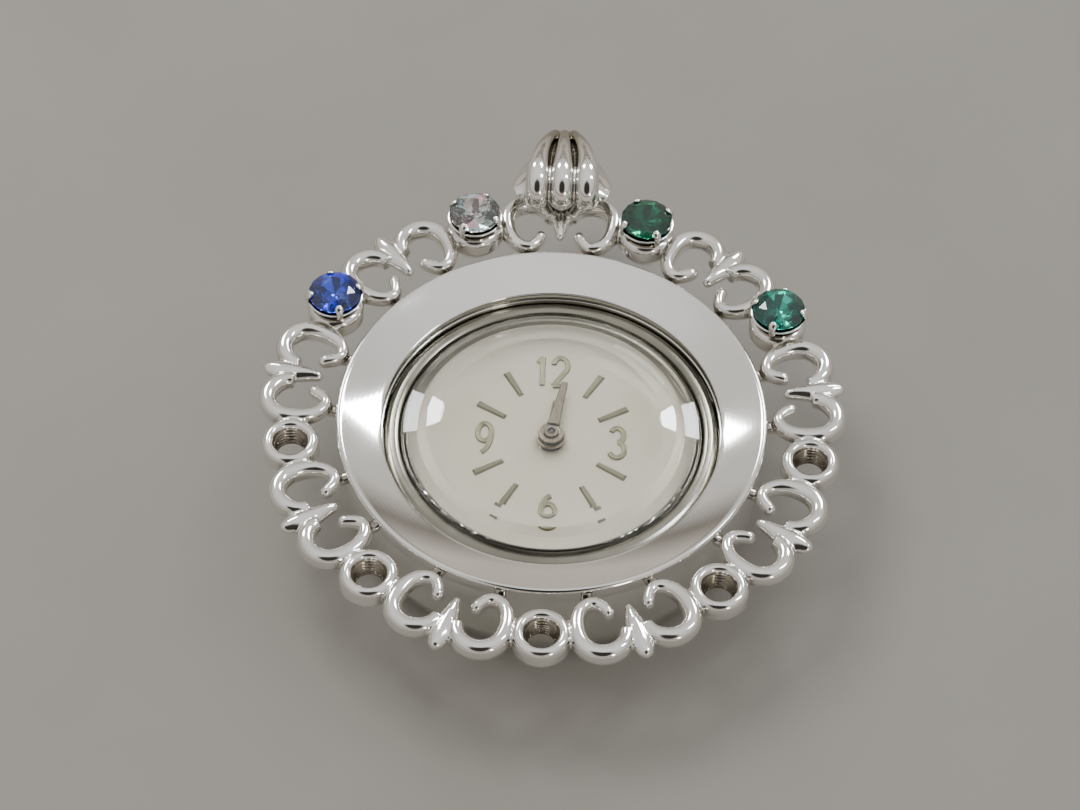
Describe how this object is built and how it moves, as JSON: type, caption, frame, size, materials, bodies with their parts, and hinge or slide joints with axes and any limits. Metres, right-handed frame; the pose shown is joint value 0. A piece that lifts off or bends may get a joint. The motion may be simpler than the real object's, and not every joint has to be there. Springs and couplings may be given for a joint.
{
  "type": "fob watch",
  "caption": "Round pendant fob watch lying on its back, with an openwork scroll ring, screw-in birthstones, a ribbed bail and a domed, facet-edged crystal.",
  "frame": {"origin": "centre of the case back's flat outer face, which the watch rests on", "axes": "+Z out of the dial, +Y to 12 o'clock and the bail, +X to 3 o'clock"},
  "size_m": [0.0314, 0.0358, 0.0092],
  "materials": {
    "polished_case": "mirror-polished white metal",
    "crystal_glass": "clear, polished, with a cut edge",
    "dial": "silvered, fine satin",
    "hands": "grey-gold, satin",
    "steel": "fine brushed",
    "brass": "gilt, satin",
    "nickel": "nickel plate, satin",
    "ruby": "polished synthetic ruby",
    "blue_stone": "faceted, polished",
    "clear_stone": "faceted, polished, faint iridescence",
    "emerald_stone": "faceted, polished",
    "teal_stone": "faceted, polished"
  },
  "bodies": {
    "case": {"case_back": "polished_case", "case_middle": "polished_case", "bezel": "polished_case", "crystal_ring": "nickel", "crystal": "crystal_glass", "openwork_ring": "polished_case", "dial": "dial", "hairspring": "steel", "movement_ring": "nickel", "crown_tube": "steel", "main_plate": "nickel", "barrel_bridge": "nickel", "train_bridge": "nickel", "balance_cock": "nickel", "barrel_bridge_screw_a": "steel", "barrel_bridge_screw_b": "steel", "train_bridge_screw_a": "steel", "train_bridge_screw_b": "steel", "balance_cock_screw": "steel", "third_wheel_jewel": "ruby", "fourth_wheel_jewel": "ruby", "escape_wheel_jewel": "ruby", "balance_jewel": "ruby"},
    "blue_setting": {"blue_stone_setting": "polished_case", "blue_stone": "blue_stone"},
    "clear_setting": {"clear_stone_setting": "polished_case", "clear_stone": "clear_stone"},
    "emerald_setting": {"emerald_stone_setting": "polished_case", "emerald_stone": "emerald_stone"},
    "teal_setting": {"teal_stone_setting": "polished_case", "teal_stone": "teal_stone"},
    "bail": {"bail": "polished_case", "bail_pin": "steel"},
    "minute_hand": {"minute_hand": "hands", "cannon_pinion": "steel"},
    "minute_wheel": {"minute_wheel": "brass"},
    "hour_hand": {"hour_hand": "hands", "hour_wheel": "brass"},
    "fourth_wheel": {"fourth_wheel": "brass"},
    "third_wheel": {"third_wheel": "brass"},
    "centre_wheel": {"centre_wheel": "brass"},
    "barrel": {"mainspring_barrel": "brass"},
    "escape_wheel": {"escape_wheel": "steel"},
    "pallet_fork": {"pallet_fork": "steel"},
    "balance": {"balance_wheel": "brass"},
    "setting_lever": {"setting_lever": "steel"},
    "crown": {"crown": "polished_case", "winding_stem": "steel"},
    "crown_wheel": {"crown_wheel": "steel"},
    "ratchet": {"ratchet_wheel": "steel", "barrel_arbor": "steel"}
  },
  "joints": [
    {"name": "minute_hand_turn", "type": "hinge", "parent": "case", "child": "minute_hand", "pos_m": [0, 0, 0.0045], "axis": [0, 0, 1], "continuous": true},
    {"name": "minute_wheel_turn", "type": "hinge", "parent": "case", "child": "minute_wheel", "pos_m": [0.0013, 0.00225, 0.0034], "axis": [0, 0, 1], "continuous": true},
    {"name": "hour_hand_turn", "type": "hinge", "parent": "case", "child": "hour_hand", "pos_m": [0, 0, 0.004], "axis": [0, 0, 1], "continuous": true},
    {"name": "fourth_wheel_turn", "type": "hinge", "parent": "case", "child": "fourth_wheel", "pos_m": [0.0038, -0.00188, 0.0019], "axis": [0, 0, 1], "continuous": true},
    {"name": "third_wheel_turn", "type": "hinge", "parent": "case", "child": "third_wheel", "pos_m": [0.00292, 0.00052, 0.0019], "axis": [0, 0, 1], "continuous": true},
    {"name": "centre_wheel_turn", "type": "hinge", "parent": "case", "child": "centre_wheel", "pos_m": [0, 0, 0.0024], "axis": [0, 0, 1], "continuous": true},
    {"name": "barrel_turn", "type": "hinge", "parent": "case", "child": "barrel", "pos_m": [-0.00257, 0.00257, 0.0018], "axis": [0, 0, 1], "continuous": true},
    {"name": "escape_wheel_turn", "type": "hinge", "parent": "case", "child": "escape_wheel", "pos_m": [0.00463, -0.00416, 0.0019], "axis": [0, 0, 1], "continuous": true},
    {"name": "pallet_fork_swing", "type": "hinge", "parent": "case", "child": "pallet_fork", "pos_m": [0.00289, -0.0048, 0.002], "axis": [0, 0, 1], "range_deg": [-5, 5]},
    {"name": "balance_swing", "type": "hinge", "parent": "case", "child": "balance", "pos_m": [0.00045, -0.00569, 0.0017], "axis": [0, 0, 1], "range_deg": [-270, 270], "stiffness_Nm_per_rad": 0.000000014},
    {"name": "crown_pull", "type": "slide", "parent": "case", "child": "setting_lever", "axis": [0, 1, 0], "range_m": [0, 0.0005]},
    {"name": "crown_turn", "type": "hinge", "parent": "setting_lever", "child": "crown", "pos_m": [0, 0.012, 0.00195], "axis": [0, 1, 0], "continuous": true},
    {"name": "crown_wheel_turn", "type": "hinge", "parent": "case", "child": "crown_wheel", "pos_m": [-0.00028, 0.0053, 0.0007], "axis": [0, 0, 1], "continuous": true},
    {"name": "ratchet_turn", "type": "hinge", "parent": "case", "child": "ratchet", "pos_m": [-0.00257, 0.00257, 0.0007], "axis": [0, 0, 1], "continuous": true},
    {"name": "bail_swing", "type": "hinge", "parent": "case", "child": "bail", "pos_m": [0, 0.0162, 0.0059], "axis": [1, 0, 0], "range_deg": [-80, 8]},
    {"name": "blue_setting_unscrew", "type": "slide", "parent": "case", "child": "blue_setting", "axis": [0, 0, 1], "range_m": [0, 0.003]},
    {"name": "clear_setting_unscrew", "type": "slide", "parent": "case", "child": "clear_setting", "axis": [0, 0, 1], "range_m": [0, 0.003]},
    {"name": "emerald_setting_unscrew", "type": "slide", "parent": "case", "child": "emerald_setting", "axis": [0, 0, 1], "range_m": [0, 0.003]},
    {"name": "teal_setting_unscrew", "type": "slide", "parent": "case", "child": "teal_setting", "axis": [0, 0, 1], "range_m": [0, 0.003]}
  ],
  "couplings": [
    {"joint": "minute_wheel_turn", "follows": "minute_hand_turn", "ratio": -0.33333},
    {"joint": "hour_hand_turn", "follows": "minute_hand_turn", "ratio": 0.083333},
    {"joint": "third_wheel_turn", "follows": "fourth_wheel_turn", "ratio": -0.13333},
    {"joint": "centre_wheel_turn", "follows": "fourth_wheel_turn", "ratio": 0.016667},
    {"joint": "barrel_turn", "follows": "fourth_wheel_turn", "ratio": -0.0027778},
    {"joint": "escape_wheel_turn", "follows": "fourth_wheel_turn", "ratio": -8},
    {"joint": "crown_wheel_turn", "follows": "crown_turn", "ratio": 0.77778},
    {"joint": "ratchet_turn", "follows": "crown_turn", "ratio": -0.5}
  ]
}
